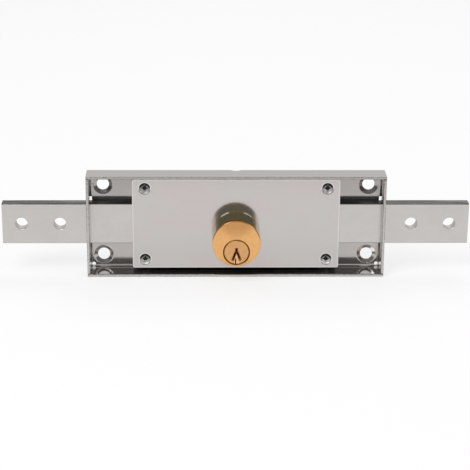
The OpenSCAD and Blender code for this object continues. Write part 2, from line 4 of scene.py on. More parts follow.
import bmesh
import bpy
from mathutils import Euler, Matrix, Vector


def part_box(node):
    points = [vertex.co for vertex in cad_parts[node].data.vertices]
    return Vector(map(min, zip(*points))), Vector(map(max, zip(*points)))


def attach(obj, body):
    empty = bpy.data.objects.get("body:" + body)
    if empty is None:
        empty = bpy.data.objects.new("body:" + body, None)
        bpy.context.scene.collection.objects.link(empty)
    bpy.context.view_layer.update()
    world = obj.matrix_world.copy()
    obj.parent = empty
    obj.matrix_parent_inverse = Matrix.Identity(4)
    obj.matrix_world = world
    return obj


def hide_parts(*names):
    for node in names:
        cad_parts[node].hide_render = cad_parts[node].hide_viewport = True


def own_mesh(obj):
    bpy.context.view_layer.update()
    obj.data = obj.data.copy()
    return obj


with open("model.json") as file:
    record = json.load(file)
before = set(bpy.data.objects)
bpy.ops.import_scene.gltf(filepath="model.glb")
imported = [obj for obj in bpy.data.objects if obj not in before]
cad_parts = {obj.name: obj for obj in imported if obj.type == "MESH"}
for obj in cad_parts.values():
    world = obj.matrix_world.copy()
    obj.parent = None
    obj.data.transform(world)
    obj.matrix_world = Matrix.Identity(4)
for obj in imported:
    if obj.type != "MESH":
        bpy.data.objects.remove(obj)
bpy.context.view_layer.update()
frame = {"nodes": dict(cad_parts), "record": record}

# Everything is in metres, with the front of the lock towards -Y and its top towards +Z.
# The sizes that are repeated here are those of the solids, in millimetres.
MM = 0.001
HEAD_WIDTH = 4.86

low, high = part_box("cylinder_body")
FACE_Y = low.y
CYLINDER_Z = (low.z + high.z) / 2
low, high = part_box("plug")
PLUG_Z = (low.z + high.z) / 2
PLUG_R = (high.z - low.z) / 2
CASE_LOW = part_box("case")[0]
PLATE_LOW, PLATE_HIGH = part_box("cover_plate")
PLATE_FRONT_Y = PLATE_LOW.y
low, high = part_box("cover_screws")
COVER_HEAD_Y = low.y
SCREWS_Z = (low.z + high.z) / 2
SCREW_X = high.x - HEAD_WIDTH / 2 * MM
SCREW_RISE = (high.z - low.z - HEAD_WIDTH * MM) / 2

BODY_OF = {node: body for body, nodes in frame["record"]["behaviour"]["bodies"].items() for node in nodes}
SLOT_OF = {part["node"]: part["material_slot"] for part in frame["record"]["subparts"]}


class Field:
    """The value of one socket. Sums and products of fields add the Math nodes that they stand for."""

    def __init__(self, graph, socket):
        self.graph = graph
        self.socket = socket

    def math(self, operation, *values, clamp=False):
        settings = {"operation": operation, "use_clamp": clamp}
        return self.graph.node("ShaderNodeMath", settings, dict(enumerate(values)))

    def __add__(self, other):
        return self.math("ADD", self, other)

    def __sub__(self, other):
        return self.math("SUBTRACT", self, other)

    def __rsub__(self, other):
        return self.math("SUBTRACT", other, self)

    def __mul__(self, other):
        return self.math("MULTIPLY", self, other)

    def __truediv__(self, other):
        return self.math("DIVIDE", self, other)

    def __pow__(self, other):
        return self.math("POWER", self, other)

    def __abs__(self):
        return self.math("ABSOLUTE", self)

    def __neg__(self):
        return self.math("MULTIPLY", self, -1.0)

    __radd__ = __add__
    __rmul__ = __mul__

    def sine(self):
        return self.math("SINE", self)

    def cosine(self):
        return self.math("COSINE", self)

    def ramp(self, start, end):
        """0 before start, 1 after end, and a smooth step between them."""
        settings = {"interpolation_type": "SMOOTHSTEP"}
        sockets = {"Value": self, "From Min": start, "From Max": end}
        return self.graph.node("ShaderNodeMapRange", settings, sockets)


class Graph:
    """A node tree, of a material or of a shape, in which every node is added by one method."""

    def __init__(self, tree):
        self.tree = tree

    def node(self, kind, settings=None, sockets=None, outlet=0):
        """A node with its settings, then the values or links of its sockets, and one of its outlets."""
        made = self.tree.nodes.new(kind)
        for name, value in (settings or {}).items():
            setattr(made, name, value)
        for name, value in (sockets or {}).items():
            for item in value if isinstance(value, list) else [value]:
                if isinstance(item, Field):
                    self.tree.links.new(item.socket, made.inputs[name])
                else:
                    made.inputs[name].default_value = item
        return Field(self, made.outputs[outlet]) if made.outputs else None

    def vector(self, x, y, z):
        """One vector from three fields or numbers."""
        return self.node("ShaderNodeCombineXYZ", None, {"X": x, "Y": y, "Z": z})

    def moved(self, geometry, by=(0.0, 0.0, 0.0), turned=(0.0, 0.0, 0.0)):
        sockets = {"Geometry": geometry, "Translation": by, "Rotation": turned}
        return self.node("GeometryNodeTransform", None, sockets)


class Finish(Graph):
    """The finish of one material, which is drawn from the place and the direction of its surface."""

    def __init__(self, name):
        self.material = bpy.data.materials.new(name + "_finish")
        self.material.use_nodes = True
        super().__init__(self.material.node_tree)
        self.tree.nodes.clear()
        place = self.node("ShaderNodeTexCoord", outlet="Object")
        self.place = self.node(
            "ShaderNodeVectorMath", {"operation": "SCALE"}, {0: place, "Scale": 1 / MM}
        )
        self.x, self.y, self.z = self.parts(self.place)
        facing = self.node("ShaderNodeTexCoord", outlet="Normal")
        self.facing_x, self.facing_y, self.facing_z = self.parts(facing)
        self.eased_edge = self.node(
            "ShaderNodeAttribute", {"attribute_name": "eased_edge"}, outlet="Fac"
        )

    def parts(self, vector):
        return [self.node("ShaderNodeSeparateXYZ", None, {0: vector}, axis) for axis in "XYZ"]

    def noise(self, per_mm, detail=3.0, place=None, shift=0.0):
        """Noise about 0.5, with this many grains to the millimetre along each axis."""
        spread = self.node(
            "ShaderNodeVectorMath",
            {"operation": "MULTIPLY_ADD"},
            {0: place or self.place, 1: per_mm, 2: (shift, shift, shift)},
        )
        sockets = {"Vector": spread, "Scale": 1.0, "Detail": detail, "Roughness": 0.6}
        return self.node("ShaderNodeTexNoise", {"noise_dimensions": "3D"}, sockets)

    def scratches(self, per_mm, width, place=None):
        """1 along thin wandering lines between the cells of a pattern, and 0 elsewhere."""
        spread = self.node(
            "ShaderNodeVectorMath",
            {"operation": "MULTIPLY"},
            {0: place or self.place, 1: per_mm},
        )
        settings = {"feature": "DISTANCE_TO_EDGE"}
        edge = self.node("ShaderNodeTexVoronoi", settings, {"Vector": spread, "Scale": 1.0}, "Distance")
        return 1 - edge.ramp(0.0, width)

    def radius(self, axis_z):
        """Distance in millimetres from an axis that runs along Y at the given height."""
        up = self.z - axis_z / MM
        return (self.x * self.x + up * up) ** 0.5

    def in_recess(self):
        """1 in the driver's recess of the cover screws and of those in the back, and 0 on their heads."""
        front = self.y.ramp(COVER_HEAD_Y / MM + 0.36, COVER_HEAD_Y / MM + 0.55)
        front = front * (1 - self.y.ramp(COVER_HEAD_Y / MM + 1.3, COVER_HEAD_Y / MM + 1.5))
        return front.math("MAXIMUM", front, self.y.ramp(-1.2, -1.0) * (1 - self.y.ramp(-0.3, -0.08)))

    def in_rod_hole(self):
        """1 within the height of the rod holes, which keep the bright finish of the bolt's face."""
        return 1 - abs(self.z).ramp(3.6, 4.2)

    def mix(self, mask, below, above):
        """The colour above where the mask is 1, and the colour below where it is 0."""
        ends = [(*end, 1.0) if isinstance(end, tuple) else end for end in (below, above)]
        sockets = {0: mask, 6: ends[0], 7: ends[1]}
        return self.node("ShaderNodeMix", {"data_type": "RGBA"}, sockets, outlet=2)

    def metal(self, colour, roughness, height, depth, metal_share=0.95):
        """Closes the finish as metal, with its relief in mm and its metallic share, which a dust or oil film lowers
        and which is lowered too under painted highlights and painted light.
        """
        sockets = {"Height": height, "Strength": 1.0, "Distance": depth * MM}
        normal = self.node("ShaderNodeBump", None, sockets)
        sockets = {
            "Base Color": colour,
            "Metallic": metal_share,
            "Roughness": roughness,
            "Normal": normal,
        }
        shader = self.node("ShaderNodeBsdfPrincipled", None, sockets)
        self.node("ShaderNodeOutputMaterial", None, {"Surface": shader})
        return self.material


def plated_sheet():
    """Zinc plated sheet, with rolling marks along the case, bloom in the plating and sheared edges."""
    finish = Finish("plated_sheet")
    rolling = finish.noise((0.04, 5.0, 5.0), 4.0)
    bloom = finish.noise((0.05, 0.08, 0.08), 2.0).ramp(0.35, 0.65)
    grain = finish.noise((2.2, 2.2, 2.2), 4.0)
    rubbed = finish.scratches((0.12, 0.5, 0.5), 0.02) * finish.noise((0.3, 0.3, 0.3)).ramp(0.5, 0.7)
    sheared = (-finish.y).ramp(-CASE_LOW.y / MM - 0.12, -CASE_LOW.y / MM - 0.05)
    edge_mottle = finish.noise((1.6, 1.6, 1.6), 2.0, shift=6.3).ramp(0.4, 0.6)
    # Painted shade and painted light: the case is coloured darker towards its top and lighter towards its bottom
    shaded_upper = finish.mix(bloom, (0.39, 0.37, 0.36), (0.42, 0.392, 0.375))
    lit_lower = finish.mix(bloom, (0.50, 0.475, 0.46), (0.53, 0.495, 0.473))
    colour = finish.mix((-finish.z).ramp(-24.0, 8.0), shaded_upper, lit_lower)
    colour = finish.mix(rolling.ramp(0.3, 0.8) * 0.3, colour, (0.39, 0.37, 0.36))
    on_top = finish.facing_z.ramp(0.7, 0.9)
    top_front_line = on_top * (-finish.y).ramp(-CASE_LOW.y / MM - 0.75, -CASE_LOW.y / MM - 0.45)
    # Faces that point up, the top wall among them, are painted darker: painted shade
    colour = finish.mix(on_top, colour, (0.37, 0.352, 0.34))
    colour = finish.mix(sheared * 0.8, colour, (0.60, 0.575, 0.56))
    # A dark mottled line is coloured along the front of the top wall, and the eased edges are darkened in mottles
    colour = finish.mix(top_front_line * (0.35 + 0.5 * edge_mottle), colour, (0.12, 0.115, 0.11))
    colour = finish.mix(finish.eased_edge * edge_mottle * 0.7, colour, (0.17, 0.16, 0.15))
    roughness = 0.07 + 0.06 * rolling + 0.04 * grain + 0.02 * bloom + 0.16 * sheared + 0.08 * rubbed
    return finish.metal(colour, roughness, rolling * 0.6 + grain * 0.2 - rubbed * 0.4, 0.0015)


def satin_plate():
    """Satin nickel over ground steel, with soft clouds of warmer and cooler tone."""
    finish = Finish("satin_plate")
    ground = finish.noise((0.25, 6.0, 6.0), 4.0)
    cloud = finish.noise((0.035, 0.035, 0.06), 1.5, shift=3.7).ramp(0.38, 0.62)
    grain = finish.noise((3.0, 3.0, 3.0), 4.0)
    sunk = finish.y.ramp(PLATE_FRONT_Y / MM + 0.05, PLATE_FRONT_Y / MM + 0.2)
    cone = sunk * abs(finish.facing_y).ramp(0.4, 0.6) * (1 - abs(finish.facing_y).ramp(0.8, 0.95))
    under_lip = cone * (-finish.facing_z).ramp(-0.2, 0.25)
    colour = finish.mix(cloud, (0.575, 0.555, 0.54), (0.595, 0.54, 0.535))
    colour = finish.mix(ground.ramp(0.3, 0.8) * 0.25, colour, (0.53, 0.50, 0.485))
    # A light band is painted along the ends and sides of the plate, lighter still on its eased edges: painted
    # highlight
    from_end = (PLATE_HIGH.x / MM - abs(finish.x)).ramp(0.4, 0.8)
    from_side = (finish.z - PLATE_LOW.z / MM).ramp(0.4, 0.8) * (PLATE_HIGH.z / MM - finish.z).ramp(0.4, 0.8)
    colour = finish.mix((1 - from_end * from_side) * 0.7, colour, (0.76, 0.745, 0.73))
    colour = finish.mix(finish.eased_edge * 0.9, colour, (0.80, 0.785, 0.77))
    # The countersink cones are painted darker, and near black on their upper part under the lip: painted shade
    colour = finish.mix(cone * 0.6, colour, (0.40, 0.38, 0.37))
    colour = finish.mix(under_lip * 0.95, colour, (0.02, 0.019, 0.017))
    roughness = 0.09 + 0.04 * ground + 0.02 * grain + 0.35 * cone
    return finish.metal(colour, roughness, ground * 0.5 + grain * 0.3, 0.0015, 0.92)


def bolt_steel():
    """Cold drawn bar with a bright plated face, and darker long edges streaked by the die."""
    finish = Finish("bolt_steel")
    drawn = finish.noise((0.03, 4.0, 4.0), 4.0)
    streak = finish.noise((0.05, 1.6, 1.6), 3.0, shift=8.1)
    grain = finish.noise((2.5, 2.5, 2.5), 4.0)
    patch = finish.noise((0.09, 0.09, 0.09), 2.0, shift=1.3).ramp(0.35, 0.7)
    off_holes = 1 - finish.in_rod_hole()
    long_edge = abs(finish.facing_z).ramp(0.45, 0.65) * off_holes
    chamfer = long_edge * (1 - abs(finish.facing_z).ramp(0.8, 0.95))
    sawn = abs(finish.facing_x).ramp(0.75, 0.95) * off_holes
    drilled = (1 - off_holes) * (1 - abs(finish.facing_y).ramp(0.4, 0.6))
    saw = finish.noise((1.0, 3.5, 0.25), 3.0)
    colour = finish.mix(patch, (0.605, 0.58, 0.56), (0.585, 0.555, 0.535))
    colour = finish.mix(drawn.ramp(0.35, 0.8) * 0.2, colour, (0.52, 0.495, 0.475))
    dark = finish.mix(streak.ramp(0.38, 0.62), (0.03, 0.029, 0.026), (0.16, 0.155, 0.145))
    # The chamfers of the long edges are painted near black: a painted dark reflection
    dark = finish.mix(chamfer, dark, (0.03, 0.028, 0.026))
    colour = finish.mix(long_edge, colour, dark)
    colour = finish.mix(sawn * 0.6, colour, (0.38, 0.375, 0.365))
    colour = finish.mix(finish.eased_edge * (1 - long_edge) * 0.4, colour, (0.70, 0.675, 0.655))
    colour = finish.mix(drilled * 0.7, colour, (0.47, 0.45, 0.435))
    roughness = 0.16 + 0.06 * drawn + 0.04 * grain + 0.25 * long_edge + 0.1 * sawn + 0.3 * drilled
    height = drawn * 0.5 + grain * 0.2 + saw * sawn
    return finish.metal(colour, roughness, height, 0.002)


def turned_steel():
    """Bright turned steel of the posts, studs, sleeves and rivets."""
    finish = Finish("turned_steel")
    rings = finish.noise((0.3, 9.0, 0.3), 3.0)
    grain = finish.noise((4.0, 4.0, 4.0), 3.0)
    peened = finish.y.ramp(-0.2, -0.05)
    dimples = finish.noise((1.4, 1.4, 1.4), 1.0)
    colour = finish.mix(rings.ramp(0.3, 0.7), (0.42, 0.415, 0.41), (0.53, 0.525, 0.515))
    colour = finish.mix(peened * dimples.ramp(0.4, 0.6) * 0.6, colour, (0.33, 0.325, 0.32))
    roughness = 0.22 + 0.12 * rings + 0.08 * grain + 0.08 * peened
    return finish.metal(colour, roughness, rings * 0.5 + grain * 0.3 + dimples * peened * 3.0, 0.006)


def gear_steel():
    """Oiled tool steel of the racks and the pinion, ground flat, with darker milled flanks."""
    finish = Finish("gear_steel")
    ground = finish.noise((0.3, 5.0, 5.0), 4.0)
    oil = finish.noise((0.25, 0.25, 0.25), 2.0, shift=5.2).ramp(0.4, 0.65)
    milled = 1 - abs(finish.facing_y).ramp(0.7, 0.95)
    colour = finish.mix(oil, (0.30, 0.295, 0.285), (0.235, 0.225, 0.205))
    colour = finish.mix(milled * 0.5, colour, (0.17, 0.165, 0.155))
    colour = finish.mix(finish.eased_edge * 0.6, colour, (0.45, 0.44, 0.43))
    roughness = 0.28 + 0.14 * ground - 0.1 * oil
    return finish.metal(colour, roughness, ground + finish.noise((3.0, 3.0, 3.0)) * 0.3, 0.005)


def screw_steel():
    """Bright plated screws with rubbed scratches, and painted shade in their cross recesses."""
    finish = Finish("screw_steel")
    grain = finish.noise((4.0, 4.0, 4.0), 4.0)
    bloom = finish.noise((0.5, 0.5, 0.5), 2.0).ramp(0.35, 0.65)
    rubbed = finish.scratches((1.2, 1.2, 1.2), 0.05)
    recess = finish.in_recess()
    # The top of each cover screw lies in the shade of the plate, in the shape of a crescent
    beside = abs(finish.x) - SCREW_X / MM
    up = finish.z - SCREWS_Z / MM
    over = (abs(up) - SCREW_RISE / MM) * up.math("SIGN", up)
    off_light = (beside * beside + (over + 1.1) * (over + 1.1)) ** 0.5
    shade = off_light.ramp(2.15, 2.5) * over.ramp(-1.2, -0.4)
    shade = shade * (1 - finish.y.ramp(COVER_HEAD_Y / MM + 0.8, COVER_HEAD_Y / MM + 1.2))
    colour = finish.mix(bloom, (0.52, 0.505, 0.49), (0.40, 0.39, 0.375))
    colour = finish.mix(rubbed * 0.4, colour, (0.52, 0.51, 0.49))
    # The cross recesses and the crescent are painted near black: painted shade
    colour = finish.mix(recess.math("MAXIMUM", recess, shade) * 0.96, colour, (0.015, 0.014, 0.013))
    return finish.metal(colour, 0.2 + 0.14 * grain + 0.08 * bloom, grain - rubbed * 0.5, 0.006)


def cylinder_brass():
    """Turned brass: fine rings round the face, lines round the polished side, grime in the bore."""
    finish = Finish("cylinder_brass")
    radius = finish.radius(CYLINDER_Z)
    turned = finish.vector(radius, finish.y, finish.x * 0.02)
    rings = finish.noise((3.2, 3.2, 1.0), 4.0, turned)
    grain = finish.noise((2.5, 2.5, 2.5), 4.0)
    tarnish = finish.noise((0.12, 0.12, 0.12), 2.0, shift=2.4).ramp(0.35, 0.7)
    touched = finish.noise((0.55, 0.55, 0.55), 3.0, shift=7.9).ramp(0.42, 0.66)
    on_face = (-finish.facing_y).ramp(0.25, 0.6)
    lip = (1 - on_face) * (1 - finish.y.ramp(FACE_Y / MM + 0.9, FACE_Y / MM + 2.0))
    # The upper half of the face's chamfer is painted dark brown: painted shade in place of its highlight
    nose = on_face * (1 - (-finish.facing_y).ramp(0.85, 0.97)) * finish.facing_z.ramp(0.05, 0.3)
    # Short bright arcs are painted where the side meets the plate, with less metal there so that they show: painted
    # highlight
    shoulder = (1 - on_face) * finish.y.ramp(PLATE_FRONT_Y / MM - 1.5, PLATE_FRONT_Y / MM - 1.0)
    leaning = abs(finish.facing_x)
    glint_arcs = shoulder * leaning.ramp(0.26, 0.36) * (1 - leaning.ramp(0.58, 0.68)) * finish.facing_z.ramp(0.3, 0.6)
    from_plug = finish.radius(PLUG_Z)
    bore = 1 - from_plug.ramp(PLUG_R / MM + 0.15, PLUG_R / MM + 0.4)
    # Painted highlight and painted shade: the face is coloured lighter towards its left and right in a fan, and darker
    # towards its top
    fan = (finish.x * finish.x / (radius * radius + 0.5)).ramp(0.1, 0.8)
    shaded_top = (finish.z - CYLINDER_Z / MM).ramp(1.0, 10.0) * (1 - fan)
    colour = finish.mix(tarnish, (0.80, 0.445, 0.185), (0.74, 0.395, 0.155))
    colour = finish.mix(fan, colour, (0.87, 0.48, 0.19))
    colour = finish.mix(touched * 0.35, colour, (0.66, 0.36, 0.15))
    colour = finish.mix(shaded_top * 0.8, colour, (0.56, 0.28, 0.10))
    colour = finish.mix(rings.ramp(0.3, 0.75) * 0.25, colour, (0.64, 0.34, 0.13))
    colour = finish.mix((1 - on_face) * 0.85, colour, (0.40, 0.38, 0.16))
    colour = finish.mix(lip * 0.85, colour, (0.17, 0.085, 0.02))
    colour = finish.mix(glint_arcs, colour, (0.82, 0.80, 0.70))
    colour = finish.mix(finish.eased_edge * 0.6, colour, (0.66, 0.38, 0.16))
    colour = finish.mix(nose * 0.8, colour, (0.22, 0.11, 0.025))
    colour = finish.mix(bore * 0.85, colour, (0.27, 0.10, 0.014))
    roughness = 0.07 + 0.03 * rings + 0.02 * grain + 0.14 * on_face + 0.15 * bore + 0.3 * glint_arcs
    return finish.metal(colour, roughness, rings * 0.6 + grain * 0.3, 0.004, 0.95 - 0.75 * glint_arcs)


def plug_brass():
    """The plug's brass, faced on its own axis, with a grimy rim and keyway."""
    finish = Finish("plug_brass")
    radius = finish.radius(PLUG_Z)
    turned = finish.vector(radius, finish.y, finish.z * 0.02)
    rings = finish.noise((3.6, 3.6, 1.0), 4.0, turned)
    grain = finish.noise((2.5, 2.5, 2.5), 4.0)
    rim = radius.ramp(PLUG_R / MM - 0.55, PLUG_R / MM - 0.3)
    inside = finish.y.ramp(FACE_Y / MM + 0.2, FACE_Y / MM + 0.9)
    plug_mottle = finish.noise((0.7, 0.7, 0.7), 2.0).ramp(0.4, 0.65)
    below = PLUG_Z / MM - finish.z
    tongue = (1 - (abs(finish.x) / (0.2 + 0.25 * below)).ramp(0.6, 1.0)) * below.ramp(0.8, 1.4)
    # Distance from the legs of the keyway, which run out from its fork, and from the stem over it
    from_leg = abs((abs(finish.x) - 0.37) * 0.94 - (below + 0.25) * 0.342)
    from_leg = from_leg + (4.0 - below).ramp(0.0, -0.6) * 2.0 + (below + 0.6).ramp(0.0, -0.6) * 2.0
    from_stem = abs(finish.x) + (below + 2.3).ramp(0.0, -0.5) * 2.0 + below.ramp(0.0, 0.6) * 2.0
    near = from_leg.math("MINIMUM", from_leg, from_stem) + plug_mottle * 0.2
    grimy = 1 - near.ramp(0.65, 1.2)
    colour = finish.mix(plug_mottle, (0.76, 0.42, 0.18), (0.69, 0.365, 0.145))
    colour = finish.mix(rings.ramp(0.3, 0.75) * 0.3, colour, (0.60, 0.31, 0.12))
    colour = finish.mix(finish.eased_edge * 0.6, colour, (0.55, 0.30, 0.12))
    colour = finish.mix(grimy * 0.7 * (1 - inside), colour, (0.27, 0.12, 0.03))
    colour = finish.mix(tongue * 0.7, colour, (0.86, 0.56, 0.35))
    colour = finish.mix(rim * 0.85, colour, (0.30, 0.115, 0.016))
    # The keyway's inner walls are painted a light, dull, mottled brass: painted light where the hollow is dark
    colour = finish.mix(inside * (0.7 + 0.3 * plug_mottle), colour, (0.95, 0.58, 0.24))
    roughness = 0.24 + 0.07 * rings + 0.05 * grain + 0.12 * rim
    return finish.metal(colour, roughness, rings * 0.6 + grain * 0.3, 0.004, 0.95 * (1 - inside))


def pin_brass():
    """Hard brass pins with turning marks and a burnished point."""
    finish = Finish("pin_brass")
    rings = finish.noise((0.3, 0.3, 9.0), 3.0)
    grain = finish.noise((5.0, 5.0, 5.0), 3.0)
    colour = finish.mix(rings.ramp(0.3, 0.7), (0.60, 0.42, 0.19), (0.72, 0.53, 0.28))
    colour = finish.mix(finish.eased_edge * 0.6, colour, (0.82, 0.66, 0.42))
    return finish.metal(colour, 0.18 + 0.12 * rings + 0.06 * grain, rings + grain * 0.3, 0.004)


def spring_wire():
    """Drawn spring wire with fine marks from the die."""
    finish = Finish("spring_wire")
    marks = finish.noise((7.0, 7.0, 1.5), 3.0)
    colour = finish.mix(marks.ramp(0.3, 0.7), (0.34, 0.335, 0.33), (0.50, 0.495, 0.48))
    return finish.metal(colour, 0.22 + 0.14 * marks, marks, 0.004)


def new_piece(name, mesh, node):
    """Puts a finished mesh into the scene in place of a solid, on the same body."""
    piece = bpy.data.objects.new(name, mesh)
    bpy.context.scene.collection.objects.link(piece)
    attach(piece, BODY_OF[node])
    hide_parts(node)
    return piece


def settled(piece):
    """The mesh of an object with its modifiers worked in, after which the object is gone."""
    bpy.context.view_layer.update()
    graph = bpy.context.evaluated_depsgraph_get()
    mesh = bpy.data.meshes.new_from_object(
        piece.evaluated_get(graph), preserve_all_data_layers=True, depsgraph=graph
    )
    bpy.data.objects.remove(piece)
    return mesh


def eased_piece(node, finish, width, rim=1.0, crease=34):
    """A solid with its triangles joined, its sharp edges eased by a width in mm, and its rounds smooth.

    The edges in its front plane are eased by that width times rim.
    """
    mesh = frame["nodes"][node].data.copy()
    work = bmesh.new()
    work.from_mesh(mesh)
    bmesh.ops.remove_doubles(work, verts=work.verts, dist=0.0005 * MM)
    bmesh.ops.dissolve_limit(
        work, angle_limit=radians(0.6), use_dissolve_boundaries=False, verts=work.verts, edges=work.edges
    )
    for face in work.faces:
        face.smooth = True
        face.material_index = 0
    if node == "cover_plate":
        open_countersinks(work)
    front = min(vertex.co.y for vertex in work.verts)
    share = work.edges.layers.float.new("bevel_weight_edge")
    for edge in work.edges:
        if edge.calc_face_angle(0.0) > radians(crease):
            at_front = all(vertex.co.y < front + 0.01 * MM for vertex in edge.verts)
            edge[share] = 1.0 if at_front else 1.0 / rim
    work.to_mesh(mesh)
    work.free()
    for name in [a.name for a in mesh.attributes if a.name == "custom_normal"]:
        mesh.attributes.remove(mesh.attributes[name])
    mesh.set_sharp_from_angle(angle=radians(crease))
    mesh.materials.clear()
    for _ in range(2):
        mesh.materials.append(finish)
    rough = bpy.data.objects.new(node + "_rough", mesh)
    bpy.context.scene.collection.objects.link(rough)
    ease = rough.modifiers.new("ease", "BEVEL")
    ease.width = width * rim * MM
    ease.segments = 2 if rim == 1.0 else 4
    ease.limit_method = "WEIGHT"
    ease.use_clamp_overlap = False
    ease.miter_outer = "MITER_ARC"
    ease.material = 1
    flat = rough.modifiers.new("flat", "WEIGHTED_NORMAL")
    flat.mode = "FACE_AREA"
    flat.weight = 100
    flat.keep_sharp = True
    mesh = settled(rough)
    count = len(mesh.polygons)
    slots = [0] * count
    mesh.polygons.foreach_get("material_index", slots)
    edge = mesh.attributes.new("eased_edge", "FLOAT", "FACE")
    edge.data.foreach_set("value", [float(s) for s in slots])
    mesh.polygons.foreach_set("material_index", [0] * count)
    mesh.materials.pop(index=1)
    return new_piece(node + "_eased", mesh, node)


def open_countersinks(work):
    """Opens the countersinks of the cover plate a little wider at its face, as the drill has left them."""
    low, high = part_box("cover_screws")
    reach = HEAD_WIDTH / 2 * MM
    for vertex in work.verts:
        if abs(vertex.co.y - PLATE_FRONT_Y) > 0.01 * MM:
            continue
        across = [min(vertex.co[axis] - (low[axis] + reach), vertex.co[axis] - (high[axis] - reach), key=abs)
                  for axis in (0, 2)]
        radius = (across[0] ** 2 + across[1] ** 2) ** 0.5
        if radius < 3.2 * MM:
            grow = 3.12 * MM / radius - 1
            vertex.co.x += across[0] * grow
            vertex.co.z += across[1] * grow


def shape_tree(name, sizes):
    """A tree of Geometry Nodes with a named input for each size, and the graph to build it with."""
    tree = bpy.data.node_groups.new(name, "GeometryNodeTree")
    tree.interface.new_socket("Geometry", in_out="OUTPUT", socket_type="NodeSocketGeometry")
    for label, value in sizes.items():
        whole = isinstance(value, int)
        kind = "NodeSocketInt" if whole else "NodeSocketFloat"
        tree.interface.new_socket(label, in_out="INPUT", socket_type=kind)
    graph = Graph(tree)
    entry = tree.nodes.new("NodeGroupInput")
    inputs = {label: Field(graph, entry.outputs[label]) for label in sizes}
    return tree, graph, inputs


def close_shape(graph, geometry, finish):
    """Ends a tree: instances are made real, and the finish is set."""
    real = graph.node("GeometryNodeRealizeInstances", None, {"Geometry": geometry})
    done = graph.node("GeometryNodeSetMaterial", None, {"Geometry": real, "Material": finish})
    graph.node("NodeGroupOutput", None, {"Geometry": done})


def shaped(name, tree, sizes):
    """The plain mesh that a tree makes with the given sizes."""
    blank = bpy.data.objects.new(name + "_blank", bpy.data.meshes.new(name + "_blank"))
    bpy.context.scene.collection.objects.link(blank)
    shape = blank.modifiers.new("shape", "NODES")
    shape.node_group = tree
    for item in tree.interface.items_tree:
        if item.item_type == "SOCKET" and item.in_out == "INPUT":
            shape[item.identifier] = sizes[item.name]
    mesh = settled(blank)
    mesh.polygons.foreach_set("use_smooth", [True] * len(mesh.polygons))
    mesh.set_sharp_from_angle(angle=radians(34))
    return mesh


def screw_tree(finish):
    """Countersunk cross-recess screws with rolled threads, in rows, drawn with their heads towards +Z."""
    sizes = dict.fromkeys(
        ["Spacing X", "Spacing Y", "Rise", "Front", "Head width", "Foot width", "Head height"], 0.0
    )
    sizes |= dict.fromkeys(["Shank width", "Shank length", "Thread pitch", "Recess width", "Tilt"], 0.0)
    sizes |= {"Columns": 1, "Rows": 1}
    tree, graph, size = shape_tree("countersunk_screws", sizes)
    head_r, foot_r, shank_r = (size[k] * 0.5 for k in ("Head width", "Foot width", "Shank width"))
    head = graph.node(
        "GeometryNodeMeshCone",
        {"fill_type": "NGON"},
        {"Vertices": 48, "Radius Top": head_r, "Radius Bottom": foot_r, "Depth": size["Head height"]},
    )
    arm = size["Recess width"] * 0.2
    deep = size["Recess width"] * 0.42
    top = size["Head height"]
    cutters = []
    for turn in (0.0, pi / 2):
        box = graph.vector(size["Recess width"], arm, deep * 2)
        blade = graph.node("GeometryNodeMeshCube", None, {"Size": box})
        cutters.append(graph.moved(blade, graph.vector(0.0, 0.0, top), (0.0, 0.0, turn)))
    point = graph.node(
        "GeometryNodeMeshCone",
        None,
        {"Vertices": 24, "Radius Top": arm * 1.7, "Radius Bottom": arm * 0.4, "Depth": deep * 1.5},
    )
    cutters.append(graph.moved(point, graph.vector(0.0, 0.0, top - deep * 1.45)))
    recessed = graph.node(
        "GeometryNodeMeshBoolean", {"operation": "DIFFERENCE", "solver": "EXACT"}, {"Mesh 1": head, "Mesh 2": cutters}
    )
    shank = graph.node(
        "GeometryNodeMeshCylinder",
        None,
        {"Vertices": 32, "Radius": shank_r * 0.93, "Depth": size["Shank length"]},
    )
    shank = graph.moved(shank, graph.vector(0.0, 0.0, size["Shank length"] * -0.5))
    turns = size["Shank length"] / size["Thread pitch"] - 1.5
    helix = graph.node(
        "GeometryNodeCurveSpiral",
        None,
        {
            "Resolution": 24,
            "Rotations": turns,
            "Start Radius": shank_r * 0.9,
            "End Radius": shank_r * 0.9,
            "Height": turns * size["Thread pitch"],
        },
    )
    crest = graph.node("GeometryNodeCurvePrimitiveCircle", None, {"Resolution": 4, "Radius": shank_r * 0.1})
    thread = graph.node(
        "GeometryNodeCurveToMesh", None, {"Curve": helix, "Profile Curve": crest, "Fill Caps": True}
    )
    foot = size["Thread pitch"] * 0.5 - size["Shank length"]
    thread = graph.moved(thread, graph.vector(0.0, 0.0, foot))
    screw = graph.node("GeometryNodeJoinGeometry", None, {"Geometry": [recessed, shank, thread]})
    rows = graph.node(
        "GeometryNodeMeshGrid",
        None,
        {
            "Size X": size["Spacing X"],
            "Size Y": size["Spacing Y"],
            "Vertices X": size["Columns"],
            "Vertices Y": size["Rows"],
        },
    )
    rows = graph.moved(rows, graph.vector(0.0, size["Rise"], size["Front"] - size["Head height"]))
    screws = graph.node("GeometryNodeInstanceOnPoints", None, {"Points": rows, "Instance": screw})
    stood = graph.moved(screws, (0.0, 0.0, 0.0), graph.vector(size["Tilt"], 0.0, 0.0))
    close_shape(graph, stood, finish)
    return tree


